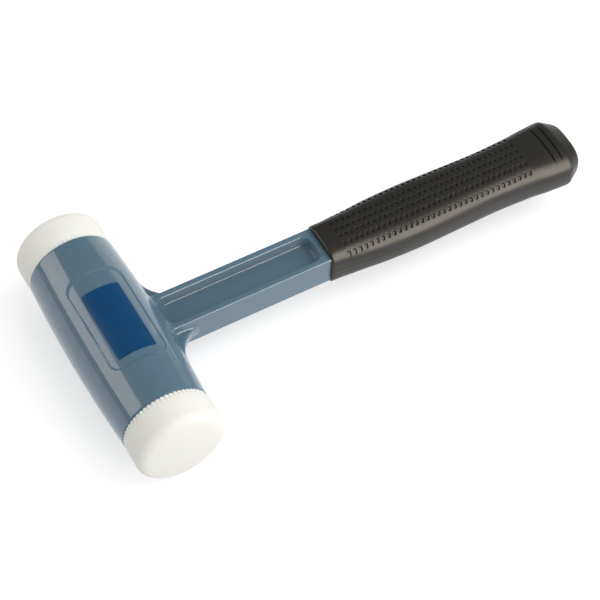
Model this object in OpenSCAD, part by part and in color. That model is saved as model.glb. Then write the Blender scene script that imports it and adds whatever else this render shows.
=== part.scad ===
// Nylon-faced dead blow hammer: one steel casting for head, shank and tang,
// two nylon striking faces driven into the head, loose steel shot between them
// and a rubber grip moulded round the tang.
// X runs from the head to the butt of the grip, Y runs along the head and Z is up.
// The hammer lies on its side, with the belly of the head at Z = 0.

/* [Head] */
// Length of the steel head between its two seams
head_l = 99; // [88:1:116]
// Diameter of the steel head at the middle of its belly
head_mid_d = 48; // [46.5:0.5:54]
// Diameter of the steel head at its seams
head_end_d = 44.8; // [43:0.2:46]
// Wall of the head round each mouth
mouth_wall = 3.9; // [3:0.1:5]
// Depth of each mouth, from seam to shoulder
mouth_l = 24; // [21:0.5:28]
// Width of the shoulder between mouth and shot chamber
shoulder_w = 1.5; // [1:0.1:2.5]
// Bevel on the outer edge of each seam
seam_bevel = 0.5; // [0.2:0.1:1]

/* [Side panels] */
// Length of the sunk panel along the head
panel_l = 55.4; // [44:0.2:64]
// Width of the sunk panel across the head
panel_w = 29; // [24:0.5:33]
// Corner radius of the sunk panel
panel_corner = 6.2; // [2:0.1:9]
// Depth of the sunk panel
panel_depth = 0.55; // [0.4:0.05:1]
// Length of the blank label along the head
label_l = 39.8; // [24:0.2:42]
// Width of the blank label across the head
label_w = 19.4; // [12:0.2:21]
// Thickness of the blank label
label_t = 0.2; // [0.1:0.05:0.3]
// How far the label sits towards the front face
label_shift = 2.5; // [0:0.1:4]

/* [Shank] */
// Distance from the head's axis to the front of the grip
shank_reach = 109.8; // [90:0.5:140]
// Width of the shank
shank_w = 21.4; // [18:0.2:24]
// Thickness of the shank
shank_h = 16.6; // [14:0.2:19]
// Rounding of the shank's long edges
shank_edge = 1.3; // [0.5:0.1:2]
// Thickness of the web between the two pockets
web_t = 6.2; // [4:0.2:9]
// Rail left beside each pocket
rail_w = 2.5; // [1.8:0.1:4]
// Solid end left between a pocket and the grip
pocket_stop = 2.4; // [1.5:0.1:6]
// Corner radius of the pockets
pocket_corner = 4.6; // [2:0.1:5]
// Draft of the pocket walls in degrees
pocket_draft = 11; // [3:1:14]
// Radius of the root fillets beside the shank
root_r = 12; // [8:0.5:14]
// Step from the shank's broad faces down to the root fillets
root_step = 0.5; // [0.3:0.1:3]
// Rounding of the root fillets' rims
root_edge = 2.8; // [1:0.1:3.4]

/* [Grip] */
// Length of the grip
grip_l = 143.5; // [120:0.5:180]
// Widest part of the grip, at its flared butt
grip_w = 35.8; // [31:0.2:42]
// Thickness of the grip
grip_h = 23.6; // [20.6:0.2:28]
// Length of the bevel round the butt
butt_bevel_l = 8.2; // [4:0.2:12]
// Rounding of the grip's front lip
lip_r = 1.2; // [0.6:0.1:2.4]
// Depth the shank runs into the grip
socket_l = 8.5; // [4:0.5:16]
// Width of the tang
tang_w = 15; // [10:0.5:17]
// Thickness of the tang
tang_h = 10.5; // [8:0.5:13]
// Rubber left beyond the end of the tang
tang_stop = 14; // [12:0.5:30]
// Distance from the butt to the last ring groove
groove_inset = 11; // [10:0.1:14]
// Spacing of the two ring grooves
groove_pitch = 4.2; // [2:0.1:6]
// Reach of a ring groove across the grip
groove_l = 23; // [14:0.5:26]
// Width of a ring groove
groove_w = 0.7; // [0.5:0.1:1.4]
// Depth of a ring groove
groove_depth = 0.8; // [0.4:0.1:1.6]
// Diameter of a dimple
dimple_d = 1.8; // [1:0.1:2.2]
// Depth of a dimple
dimple_depth = 1; // [0.3:0.1:1.2]
// Spacing of the dimples along the grip
dimple_pitch = 3.16; // [2.6:0.02:4]
// Distance between the outermost rows of dimples
dimple_field_w = 23.6; // [14:0.2:26]
// Distance from the front of the grip to the first dimples
dimple_inset = 9.6; // [8:0.1:20]
// Least distance from the last dimples to the ring grooves
dimple_outset = 14.2; // [6:0.1:30]
// Least distance from a dimple to the side of the grip
dimple_margin = 0.6; // [0.3:0.1:3]

/* [Nylon faces] */
// Diameter of a nylon face
face_d = 45; // [43.6:0.1:46]
// Diameter of a nylon face at its seam
face_seam_d = 44; // [42.6:0.1:44.4]
// Length of a nylon face from seam to rim
face_l = 18.2; // [12:0.1:26]
// Rise of the crown in the middle of a face
crown_h = 1.6; // [0.4:0.1:3]
// Radius between the side and the crown
rim_r = 5.2; // [2:0.1:7]
// Number of ribs round the seam of a face
rib_count = 60; // [36:1:72]
// Length of the seam ribs
rib_l = 2.2; // [1:0.1:3.5]
// Height of the seam ribs
rib_h = 0.4; // [0.2:0.05:0.6]
// Radial clearance of a plug in its mouth
plug_fit = 0.05; // [0.02:0.01:0.1]
// Bevel on the inner end of a plug
plug_bevel = 1; // [0.5:0.1:2]

/* [Shot charge] */
// Thickness of the steel discs that close the shot chamber
disc_t = 3; // [2:0.25:5]
// Diameter of one steel ball
shot_d = 4.7; // [4:0.1:6]
// Gap between neighbouring balls
shot_gap = 0.15; // [0.1:0.01:0.4]
// Gap between the balls and the chamber wall
shot_wall_gap = 0.3; // [0.2:0.05:0.5]
// Free length that lets the shot surge from end to end
shot_travel = 10; // [6:1:16]
// Share of the chamber's height that the shot fills
fill_share = 0.75; // [0.5:0.05:0.85]

/* [Hidden] */
// Fine steps of every true round
$fn = 96;
// Overrun of every cutting shape
cut = 1;
// Small overlap that keeps blends from meeting in a tangent
bite = 0.12;
// Gap at which flat faces seat
seat = 0.05;

head_mid_r = head_mid_d / 2;
head_end_r = head_end_d / 2;
head_half = head_l / 2;
belly_sag = head_mid_r - head_end_r;
belly_r = (belly_sag * belly_sag + head_half * head_half) / (2 * belly_sag);
bore_r = head_end_r - mouth_wall;
chamber_r = bore_r - shoulder_w;
chamber_l = head_l - 2 * mouth_l;

pocket_w = shank_w - 2 * rail_w;
pocket_x0 = head_mid_r - shank_edge / 2;
pocket_x1 = shank_reach - pocket_stop;
root_h = shank_h - 2 * root_step;

butt_x = shank_reach + grip_l;
tang_x1 = butt_x - tang_stop;
grip_half_w = grip_w / 2;
grip_half_h = grip_h / 2;
groove_x = butt_x - groove_inset - groove_pitch;

// Half width of the grip from its front to the bevel of its butt:
// place along that length, and share of the largest half width
grip_width_shares = [
    [0, 0.732], [0.08, 0.782], [0.22, 0.882], [0.36, 0.92], [0.53, 0.89],
    [0.7, 0.861], [0.85, 0.903], [0.92, 0.962], [1, 1]
];
// Rolled bevel of the butt: place along it, and share of the grip's largest section
butt_bevel_shares = [
    [0.2, 0.992], [0.36, 0.97], [0.5, 0.935], [0.84, 0.82], [0.94, 0.78], [1, 0.73]
];
// Squareness of the grip's oval section, and of its front that meets the shank
grip_power = 2.7;
grip_front_power = 3.6;
// Share of the grip's length over which the front turns oval
grip_front_share = 0.2;
// Points round a grip section, and sections along its length
grip_points = 48;
grip_steps = 30;
dimple_x0 = shank_reach + dimple_inset;
dimple_columns = 1 + floor((groove_x - dimple_outset - dimple_x0) / dimple_pitch);
// Half the distance between the outermost rows, or less where the grip is narrow
dimple_reach = min(dimple_field_w / 2, grip_top_half_w(dimple_x0) - dimple_d / 2 - dimple_margin);
// Places of the rows on each side of the middle
dimple_row_shares = [0.178, 0.555, 1];
dimple_fn = 16;

face_r = face_d / 2;
face_seam_r = face_seam_d / 2;
plug_l = mouth_l - disc_t - 4 * seat;
crown_edge_r = face_r - rim_r;
crown_r = (crown_h * crown_h + crown_edge_r * crown_edge_r) / (2 * crown_h);
// Steps of the rim's and crown's curves
curve_steps = 8;

shot_r = shot_d / 2;
shot_pitch = shot_d + shot_gap;
shot_row = shot_pitch * sqrt(3) / 2;
shot_layer_step = shot_pitch * sqrt(2 / 3);
shot_layers = 1 + floor((chamber_l - shot_travel - shot_d) / shot_layer_step);
shot_reach = chamber_r - shot_wall_gap - shot_r;
shot_top = fill_share * 2 * chamber_r - chamber_r - shot_r;
shot_rows = ceil(2 * shot_reach / shot_row);
shot_fn = 24;

// Radius of the belly at a place along the head
function belly_at(y) = head_mid_r - belly_r + sqrt(belly_r * belly_r - y * y);

// The head rests on the belly beside the lower panel
rest_z = max(belly_at(panel_l / 2), head_mid_r - panel_depth);
// From the middle of the head to the middle of the hammer's footprint
frame_shift = [(head_mid_r - butt_x) / 2, 0, rest_z];

function shot_name(n) = str("shot_layer_", n < 10 ? "0" : "", n);

// Outlines

module rounded_rect(w, h, r) {
    square([w - 2 * r, h], center = true);
    square([w, h - 2 * r], center = true);
    for (x = [-1, 1], y = [-1, 1])
        translate([x * (w / 2 - r), y * (h / 2 - r)]) circle(r = r);
}

module along_x(length) {
    rotate([90, 0, 90]) linear_extrude(length) children();
}

module along_head() {
    rotate([90, 0, 0]) children();
}

// Head

module belly_profile(inset) {
    intersection() {
        translate([head_mid_r - inset - belly_r, 0]) circle(r = belly_r, $fn = 720);
        polygon([
            [0, -head_half], [head_end_r - seam_bevel, -head_half],
            [head_end_r, seam_bevel - head_half], [head_mid_r, seam_bevel - head_half],
            [head_mid_r, head_half - seam_bevel], [head_end_r, head_half - seam_bevel],
            [head_end_r - seam_bevel, head_half], [0, head_half]
        ]);
    }
}

module belly(inset = 0) {
    along_head() rotate_extrude() belly_profile(inset);
}

module panel_recess() {
    difference() {
        linear_extrude(head_mid_r + cut) rounded_rect(panel_w, panel_l, panel_corner);
        belly(panel_depth);
    }
}

module head_bores() {
    along_head() {
        cylinder(h = chamber_l + 2 * cut, r = chamber_r, center = true);
        for (side = [0, 180])
            rotate([side, 0, 0]) translate([0, 0, chamber_l / 2])
                cylinder(h = mouth_l + cut, r = bore_r);
    }
}

// Shank

module pocket() {
    floor_z = web_t / 2;
    top_z = shank_h / 2 + cut;
    lean = tan(pocket_draft);
    mouth_grow = cut * lean;
    floor_shrink = (shank_h / 2 - floor_z) * lean;
    half_w = pocket_w / 2;
    intersection() {
        translate([(pocket_x0 + pocket_x1) / 2, 0, floor_z]) linear_extrude(top_z)
            rounded_rect(pocket_x1 - pocket_x0, pocket_w, pocket_corner);
        along_x(shank_reach) polygon([
            [floor_shrink - half_w, floor_z], [half_w - floor_shrink, floor_z],
            [half_w + mouth_grow, top_z], [-half_w - mouth_grow, top_z]
        ]);
        translate([0, shank_w / 2, 0]) rotate([90, 0, 0]) linear_extrude(shank_w) polygon([
            [pocket_x0 + floor_shrink, floor_z], [pocket_x1 - floor_shrink, floor_z],
            [pocket_x1 + mouth_grow, top_z], [pocket_x0 - mouth_grow, top_z]
        ]);
    }
}

module root_spool() {
    flare_z = root_h / 2 - root_edge;
    rotate_extrude() difference() {
        translate([0, -root_h / 2 - cut]) square([root_r + root_edge, root_h + 2 * cut]);
        translate([root_r, -flare_z]) square([root_edge + cut, 2 * flare_z]);
        for (side = [-1, 1])
            translate([root_r + root_edge, side * flare_z]) circle(r = root_edge);
    }
}

module root_fillet() {
    axis_x = head_mid_r + root_r - bite;
    axis_y = shank_w / 2 + root_r - bite;
    difference() {
        translate([chamber_r, 0, -root_h / 2]) cube([axis_x - chamber_r, axis_y, root_h]);
        translate([axis_x, axis_y, 0]) root_spool();
    }
}

module tang_solid() {
    along_x(shank_reach + socket_l) rounded_rect(shank_w, shank_h, shank_edge);
    along_x(tang_x1) rounded_rect(tang_w, tang_h, shank_edge);
}

module head_casting() {
    color("LightSlateGray") difference() {
        union() {
            belly();
            tang_solid();
            root_fillet();
            mirror([0, 1, 0]) root_fillet();
        }
        panel_recess();
        mirror([0, 0, 1]) panel_recess();
        pocket();
        mirror([0, 0, 1]) pocket();
        head_bores();
    }
}

// Grip

function blend(a, b, c, d, u) =
    0.5 * (2 * b + (c - a) * u + (2 * a - 5 * b + 4 * c - d) * u * u + (3 * b - a - 3 * c + d) * u * u * u);

function span_of(t, i = 0) =
    i >= len(grip_width_shares) - 2 || t < grip_width_shares[i + 1][0] ? i : span_of(t, i + 1);

function width_share(t) =
    let(i = span_of(t), last = len(grip_width_shares) - 1, s = grip_width_shares,
        u = (t - s[i][0]) / (s[i + 1][0] - s[i][0]))
    blend(s[max(i - 1, 0)][1], s[i][1], s[i + 1][1], s[min(i + 2, last)][1], u);

// Squareness of the section at a share of the grip's length
function section_power(t) =
    grip_power + (grip_front_power - grip_power) * pow(max(0, 1 - t / grip_front_share), 2);

function bend(v, power) = sign(v) * pow(abs(v), 2 / power);

function grip_ring(x, half_w, half_h, power = grip_power) = [
    for (i = [0:grip_points - 1])
        let(a = 360 * i / grip_points)
        [x, half_w * bend(cos(a), power), half_h * bend(sin(a), power)]
];

function lip_ring(a) =
    let(half_w = grip_half_w * width_share(0), drop = lip_r * (1 - sin(a)))
    grip_ring(shank_reach + lip_r * (1 - cos(a)), half_w - drop, grip_half_h - drop, grip_front_power);

function body_ring(t) =
    let(first = shank_reach + lip_r, length = grip_l - lip_r - butt_bevel_l)
    grip_ring(first + t * length, grip_half_w * width_share(t), grip_half_h, section_power(t));

module loft(rings) {
    n = len(rings[0]);
    last = len(rings) - 1;
    polyhedron(
        points = [for (ring = rings) each ring],
        faces = [
            [for (i = [0:n - 1]) i],
            [for (i = [n - 1:-1:0]) last * n + i],
            for (k = [0:last - 1], i = [0:n - 1])
                let(a = k * n + i, b = k * n + (i + 1) % n)
                each [[a, a + n, b], [b, a + n, b + n]]
        ],
        convexity = 4
    );
}

module grip_blank() {
    loft([
        for (a = [0:30:60]) lip_ring(a),
        for (k = [0:grip_steps]) body_ring(k / grip_steps),
        for (s = butt_bevel_shares)
            grip_ring(butt_x - butt_bevel_l * (1 - s[0]), grip_half_w * s[1], grip_half_h * s[1])
    ]);
}

// Share of the grip's length at a place along the hammer
function grip_share(x) = (x - shank_reach - lip_r) / (grip_l - lip_r - butt_bevel_l);

// Half width of the grip at a place along the hammer
function grip_top_half_w(x) = grip_half_w * width_share(grip_share(x));

// Height of the grip's surface over a place along and across it
function grip_top_z(x, y) =
    let(power = section_power(grip_share(x)))
    grip_half_h * pow(1 - pow(abs(y) / grip_top_half_w(x), power), 1 / power);

module ring_groove(x) {
    half_w = grip_top_half_w(x) - groove_depth;
    half_h = grip_half_h - groove_depth;
    translate([x, 0, 0]) along_x(groove_w) difference() {
        translate([-groove_l / 2, 0]) square([groove_l, grip_half_h + cut]);
        polygon([for (p = grip_ring(0, half_w, half_h)) [p[1], p[2]]]);
    }
}

module ring_grooves() {
    for (k = [0, 1])
        ring_groove(groove_x + k * groove_pitch);
}

module dimples() {
    for (i = [0:dimple_columns - 1], share = dimple_row_shares, side = [-1, 1]) {
        x = dimple_x0 + i * dimple_pitch;
        y = side * share * dimple_reach;
        translate([x, y, grip_top_z(x, y) - dimple_depth])
            cylinder(h = grip_half_h, r = dimple_d / 2, $fn = dimple_fn);
    }
}

module grip_sleeve() {
    color("DimGray") difference() {
        grip_blank();
        tang_solid();
        for (side = [0, 1])
            mirror([0, 0, side]) {
                ring_grooves();
                dimples();
            }
    }
}

// Nylon faces, drawn along +Z from the seam and then laid along the head

function arc_points(centre, r, a0, a1) = [
    for (k = [0:curve_steps])
        let(a = a0 + (a1 - a0) * k / curve_steps)
        centre + r * [cos(a), sin(a)]
];

module face_profile() {
    crown_a = asin(crown_edge_r / crown_r);
    swell = face_r - face_seam_r;
    polygon(concat(
        [[0, 0], [face_seam_r, 0], [face_seam_r, rib_l / 2], [face_seam_r + swell / 2, rib_l]],
        [[face_r, 2 * rib_l]],
        arc_points([crown_edge_r, face_l - rim_r], rim_r, 0, 90),
        arc_points([0, face_l + crown_h - crown_r], crown_r, 90 - crown_a + bite, 90)
    ));
}

module seam_ribs() {
    rib_r = PI * face_seam_r / rib_count / 2;
    linear_extrude(rib_l) {
        circle(r = face_seam_r - rib_h);
        for (k = [0:rib_count - 1])
            rotate(360 * k / rib_count) translate([face_seam_r + rib_h - rib_r, 0])
                circle(r = rib_r, $fn = 16);
    }
}

module nylon_face() {
    rotate_extrude() face_profile();
    seam_ribs();
    translate([0, 0, -plug_l]) cylinder(h = plug_bevel, r1 = bore_r - plug_fit - plug_bevel, r2 = bore_r - plug_fit);
    translate([0, 0, plug_bevel - plug_l]) cylinder(h = plug_l - plug_bevel, r = bore_r - plug_fit);
}

module front_nylon_face() {
    color("WhiteSmoke") translate([0, -head_half - seat, 0]) rotate([90, 0, 0]) nylon_face();
}

module rear_nylon_face() {
    color("WhiteSmoke") translate([0, head_half + seat, 0]) rotate([-90, 0, 0]) nylon_face();
}

// Shot chamber

module retaining_disc() {
    cylinder(h = disc_t, r = bore_r - plug_fit);
}

module front_retaining_disc() {
    color("Silver") translate([0, -chamber_l / 2 - seat, 0]) rotate([90, 0, 0]) retaining_disc();
}

module rear_retaining_disc() {
    color("Silver") translate([0, chamber_l / 2 + seat, 0]) rotate([-90, 0, 0]) retaining_disc();
}

// Places of the balls in one layer: every other layer nests in the hollows of the last
function shot_places(odd) = [
    for (j = [0:shot_rows], i = [-shot_rows:shot_rows])
        let(x = (i + (j % 2) / 2 + odd / 2) * shot_pitch, z = (j + odd / 3) * shot_row - shot_reach)
        if (norm([x, z]) <= shot_reach + seat / 2 && z <= shot_top) [x, z]
];

module shot_layer(n) {
    y = (n - (shot_layers + 1) / 2) * shot_layer_step;
    color("Gainsboro") for (p = shot_places(n % 2))
        translate([p[0], y, p[1]]) sphere(r = shot_r, $fn = shot_fn);
}

// Label

module blank_label() {
    color("MidnightBlue") intersection() {
        difference() {
            belly(panel_depth - seat - label_t);
            belly(panel_depth - seat);
        }
        translate([0, -label_shift, 0]) linear_extrude(head_mid_r)
            square([label_w, label_l], center = true);
    }
}

translate(frame_shift) head_casting();
translate(frame_shift) grip_sleeve();
translate(frame_shift) front_nylon_face();
translate(frame_shift) rear_nylon_face();
translate(frame_shift) front_retaining_disc();
translate(frame_shift) rear_retaining_disc();
translate(frame_shift) blank_label();
for (n = [1:shot_layers])
    translate(frame_shift) shot_layer(n);
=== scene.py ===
# %% [markdown]
# # A nylon-faced dead blow hammer
# The real tool is a painted steel casting with a nylon face driven into each end of its head,
# loose steel shot between the two, and a rubber grip moulded round its tang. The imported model
# gives the true places and sizes, so we load it first and build every visible skin round it.

# %% The frame
import math

import bmesh
import bpy
import numpy as np
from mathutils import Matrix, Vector


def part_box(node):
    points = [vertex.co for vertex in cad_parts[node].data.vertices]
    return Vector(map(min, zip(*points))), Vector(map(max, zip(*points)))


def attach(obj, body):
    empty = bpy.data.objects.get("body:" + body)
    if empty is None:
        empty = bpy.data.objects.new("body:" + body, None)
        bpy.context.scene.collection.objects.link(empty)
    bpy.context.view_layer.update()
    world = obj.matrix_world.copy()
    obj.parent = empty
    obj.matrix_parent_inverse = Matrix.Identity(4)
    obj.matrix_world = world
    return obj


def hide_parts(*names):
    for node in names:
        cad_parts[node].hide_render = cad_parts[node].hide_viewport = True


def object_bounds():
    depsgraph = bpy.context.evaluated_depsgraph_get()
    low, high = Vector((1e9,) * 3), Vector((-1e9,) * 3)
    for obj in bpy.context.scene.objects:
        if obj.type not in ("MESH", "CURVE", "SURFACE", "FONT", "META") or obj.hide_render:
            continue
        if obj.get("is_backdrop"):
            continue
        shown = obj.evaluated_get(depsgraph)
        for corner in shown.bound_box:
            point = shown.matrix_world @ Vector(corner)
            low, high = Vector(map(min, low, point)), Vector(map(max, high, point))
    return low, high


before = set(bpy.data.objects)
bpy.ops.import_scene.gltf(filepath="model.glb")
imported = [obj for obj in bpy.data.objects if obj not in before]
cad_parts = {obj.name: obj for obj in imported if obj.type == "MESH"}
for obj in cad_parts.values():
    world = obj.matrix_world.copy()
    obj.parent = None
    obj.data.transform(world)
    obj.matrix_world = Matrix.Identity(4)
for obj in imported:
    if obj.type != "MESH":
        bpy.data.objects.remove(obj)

MM = 0.001
cad_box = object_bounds()

# %% [markdown]
# Every size below is in millimetres, as a maker would write it, and the places come from the
# frame's own boxes. The head's axis runs along Y through the middle of a nylon face, and the
# hammer's own x is measured from that axis towards the grip.

# %% Places taken from the frame
face_low, face_high = (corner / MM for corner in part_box("front_nylon_face"))
rear_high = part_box("rear_nylon_face")[1] / MM
grip_low, grip_high = (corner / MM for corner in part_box("grip_sleeve"))
cast_low, cast_high = (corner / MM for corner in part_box("head_casting"))
label_low, label_high = (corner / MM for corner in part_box("blank_label"))
AXIS = Vector(((face_low.x + face_high.x) / 2, 0, (face_low.z + face_high.z) / 2))
HEAD_R = AXIS.x - cast_low.x
HEAD_HALF = cast_high.y
GRIP_X0, GRIP_X1 = grip_low.x - AXIS.x, grip_high.x - AXIS.x
GRIP_HALF_W = grip_high.y
GRIP_HALF_H = (grip_high.z - grip_low.z) / 2
TANG_X1 = cast_high.x - AXIS.x
print("head radius", round(HEAD_R, 2), "half length", round(HEAD_HALF, 2))
print("grip from", round(GRIP_X0, 1), "to", round(GRIP_X1, 1))

# %% [markdown]
# A few jobs come up with every piece: making a mesh from places in millimetres, joining rings
# of points by faces, giving the mesh an object in the scene, and turning its faces outward, so
# that light falls on the right side.


# %% Small helpers
def mesh_of(name, points, faces):
    """A mesh from points in millimetres."""
    made = bpy.data.meshes.new(name)
    made.from_pydata([tuple(Vector(p) * MM) for p in points], [], faces)
    return made


def ring_faces(bands, steps):
    """Four-sided faces between rings of points, each ring with this many steps."""
    faces = []
    for k in range(bands):
        for i in range(steps):
            a, b = k * steps + i, k * steps + (i + 1) % steps
            faces.append((a, b, b + steps, a + steps))
    return faces


def add_object(name, data):
    """An object that holds this data, linked to the scene."""
    made = bpy.data.objects.new(name, data)
    bpy.context.scene.collection.objects.link(made)
    return made


def face_outward(mesh):
    """Turns every face of a closed mesh outward."""
    fix = bmesh.new()
    fix.from_mesh(mesh)
    bmesh.ops.recalc_face_normals(fix, faces=fix.faces)
    fix.to_mesh(mesh)
    fix.free()


print("meshes are drawn in units of", MM, "m")

# %% [markdown]
# ## Writing formulas as nodes
# Geometry Nodes can work out any formula at any point, but a long formula is tedious to wire by
# hand. This small class stands for a number inside a node tree, and lets Python's own signs make
# the math nodes. It pays off as soon as a shape is described by a formula.


# %% A number inside a node tree
class Amount:
    def __init__(self, tree, socket):
        self.tree = tree
        self.socket = socket

    def math(self, operation, *others):
        node = self.tree.nodes.new("ShaderNodeMath")
        node.operation = operation
        for slot, value in zip(node.inputs, (self, *others)):
            if isinstance(value, Amount):
                self.tree.links.new(value.socket, slot)
            else:
                slot.default_value = value
        return Amount(self.tree, node.outputs[0])

    def __add__(self, other):
        return self.math("ADD", other)

    def __sub__(self, other):
        return self.math("SUBTRACT", other)

    def __mul__(self, other):
        return self.math("MULTIPLY", other)

    def __truediv__(self, other):
        return self.math("DIVIDE", other)

    def __neg__(self):
        return self.math("MULTIPLY", -1.0)

    def __abs__(self):
        return self.math("ABSOLUTE")

    def at_least(self, other):
        return self.math("MAXIMUM", other)

    def at_most(self, other):
        return self.math("MINIMUM", other)

    def soft_max(self, other, width):
        return self.math("SMOOTH_MAX", other, width)

    def soft_min(self, other, width):
        return self.math("SMOOTH_MIN", other, width)


def length_of(a, b):
    return (a * a + b * b).math("SQRT")


def step_up(value, start, end):
    """0 before start, 1 after end, and an even curve between them."""
    t = ((value - start) / (end - start)).at_least(0.0).at_most(1.0)
    return t * t * (t * -2.0 + 3.0)


def split_xyz(tree, vector):
    node = tree.nodes.new("ShaderNodeSeparateXYZ")
    tree.links.new(vector, node.inputs[0])
    return [Amount(tree, out) for out in node.outputs]


def join_xyz(tree, x, y, z):
    node = tree.nodes.new("ShaderNodeCombineXYZ")
    for slot, value in zip(node.inputs, (x, y, z)):
        if isinstance(value, Amount):
            tree.links.new(value.socket, slot)
        else:
            slot.default_value = value
    return node.outputs[0]


def vector_math(tree, operation, a, b=None, scale=None):
    node = tree.nodes.new("ShaderNodeVectorMath")
    node.operation = operation
    for slot, value in ((0, a), (1, b)):
        if isinstance(value, bpy.types.NodeSocket):
            tree.links.new(value, node.inputs[slot])
        elif value is not None:
            node.inputs[slot].default_value = value
    if isinstance(scale, Amount):
        tree.links.new(scale.socket, node.inputs["Scale"])
    elif scale is not None:
        node.inputs["Scale"].default_value = scale
    return node.outputs["Value"] if operation in ("LENGTH", "DOT_PRODUCT") else node.outputs[0]


def new_group(name, inputs, outputs, kind="GeometryNodeTree"):
    """An empty node group with named inputs and outputs, and its two end nodes."""
    tree = bpy.data.node_groups.new(name, kind)
    for label, socket_type, value in inputs:
        made = tree.interface.new_socket(label, in_out="INPUT", socket_type=socket_type)
        if value is not None:
            made.default_value = value
    for label, socket_type in outputs:
        tree.interface.new_socket(label, in_out="OUTPUT", socket_type=socket_type)
    return tree, tree.nodes.new("NodeGroupInput"), tree.nodes.new("NodeGroupOutput")


def rounded_rect(a, b, half_a, half_b, radius):
    """Distance from a rectangle with round corners, in the plane of a and b."""
    qa = abs(a) - half_a + radius
    qb = abs(b) - half_b + radius
    return length_of(qa.at_least(0.0), qb.at_least(0.0)) + qa.at_least(qb).at_most(0.0) - radius


# %% [markdown]
# ## The casting
# Head and shank are one casting, so its edges are all soft: paint and sand never leave a sharp
# corner. A signed distance field suits that well. Each part is a formula for the distance to its
# skin, a soft minimum melts two parts together with a fillet, and a soft maximum with a negative
# cuts one away with a rolled edge. A bevel on a boolean would break down where the fillets meet.

# %% Sizes of the casting
BELLY_SAG, BARREL_EDGE = 1.6, 0.9
PANEL_HALF_W, PANEL_HALF_L, PANEL_CORNER = 14.5, 27.7, 6.2
PANEL_DEPTH, PANEL_BEVEL = 0.55, 0.85
SHANK_HALF_W, SHANK_HALF_H, SHANK_EDGE = 11.1, 8.5, 0.9
SOCKET_L = 8.5
SHANK_X1 = GRIP_X0 + SOCKET_L
WEB_HALF, RAIL, POCKET_STOP = 3.1, 3.2, 2.6
POCKET_CORNER, POCKET_LEAN = 4.6, math.tan(math.radians(11))
POCKET_FLOOR_EDGE, POCKET_TOP_EDGE = 2.0, 1.1
ROOT_R, ROOT_HALF_H, ROOT_SINK, ROOT_EDGE = 16.5, 3.4, 0.2, 2.4
ROOT_FADE_L, ROOT_FADE = 5, 2.0
SHANK_BLEND, ROOT_BLEND = 4.0, 2.0
print("shank", 2 * SHANK_HALF_W, "by", 2 * SHANK_HALF_H, "mm, seated", SOCKET_L, "mm in the grip")

# %% [markdown]
# The formula takes one feature after another: the bellied barrel with its sunk panel, the shank,
# the root that a scooped circle leaves between the two, and the pocket. The pocket's walls lean
# out, as a moulder's draft does, so its outline grows with the height above the web.


# %% The distance from the casting's skin
def casting_distance(x, y, z):
    """Barrel, shank and root gussets melted together, less a pocket on each side."""
    axis_distance = length_of(x, z)
    sink = step_up(-rounded_rect(x, y, PANEL_HALF_W, PANEL_HALF_L, PANEL_CORNER), 0.0, PANEL_BEVEL)
    belly = (y * y) * (-BELLY_SAG / HEAD_HALF**2) + HEAD_R - sink * PANEL_DEPTH
    barrel = (axis_distance - belly).soft_max(abs(y) - HEAD_HALF, BARREL_EDGE)
    shank = rounded_rect(y, z, SHANK_HALF_W, SHANK_HALF_H, SHANK_EDGE)
    shank = shank.at_least(x - SHANK_X1).at_least(-x)
    corner_x, corner_y = HEAD_R + ROOT_R, SHANK_HALF_W + ROOT_R
    scoop = -(length_of(x - corner_x, abs(y) - corner_y) - ROOT_R - ROOT_SINK)
    root = scoop.at_least(x - corner_x).at_least(abs(y) - corner_y).at_least(-x)
    root = root.soft_max(abs(z) - ROOT_HALF_H, ROOT_EDGE)
    root = root + step_up(x, corner_x - ROOT_FADE_L, corner_x) * ROOT_FADE
    body = barrel.soft_min(shank, SHANK_BLEND).soft_min(root, ROOT_BLEND)
    draft = (abs(z) - SHANK_HALF_H) * POCKET_LEAN
    pocket_x0 = HEAD_R - SHANK_EDGE / 2
    pocket_x1 = GRIP_X0 - POCKET_STOP
    half_l = (pocket_x1 - pocket_x0) / 2
    pocket = rounded_rect(
        x - (pocket_x0 + pocket_x1) / 2, y,
        draft + half_l, draft + (SHANK_HALF_W - RAIL), POCKET_CORNER,
    )
    pocket = pocket.soft_max(-(abs(z) - WEB_HALF), POCKET_FLOOR_EDGE)
    return body.soft_max(-pocket, POCKET_TOP_EDGE)


tree, start, end = new_group(
    "casting distance", [("Place", "NodeSocketVector", None)], [("Distance", "NodeSocketFloat")]
)
place_mm = vector_math(tree, "SUBTRACT", start.outputs[0], tuple(AXIS * MM))
place_mm = vector_math(tree, "SCALE", place_mm, scale=1 / MM)
distance = casting_distance(*split_xyz(tree, place_mm))
tree.links.new(distance.socket, end.inputs[0])
DISTANCE = tree
print("casting formula:", len(tree.nodes), "nodes")

# %% [markdown]
# The tree samples that distance on a grid, meshes its zero, and then slides every point twice
# along the slope of the field until it lies exactly on the skin. The gloss paint needs this: a
# reflection shows errors of a hundredth of a millimetre.


# %% A tree that meshes the field
def distance_at(tree, vector):
    node = tree.nodes.new("GeometryNodeGroup")
    node.node_tree = DISTANCE
    tree.links.new(vector, node.inputs[0])
    return Amount(tree, node.outputs[0])


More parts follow.
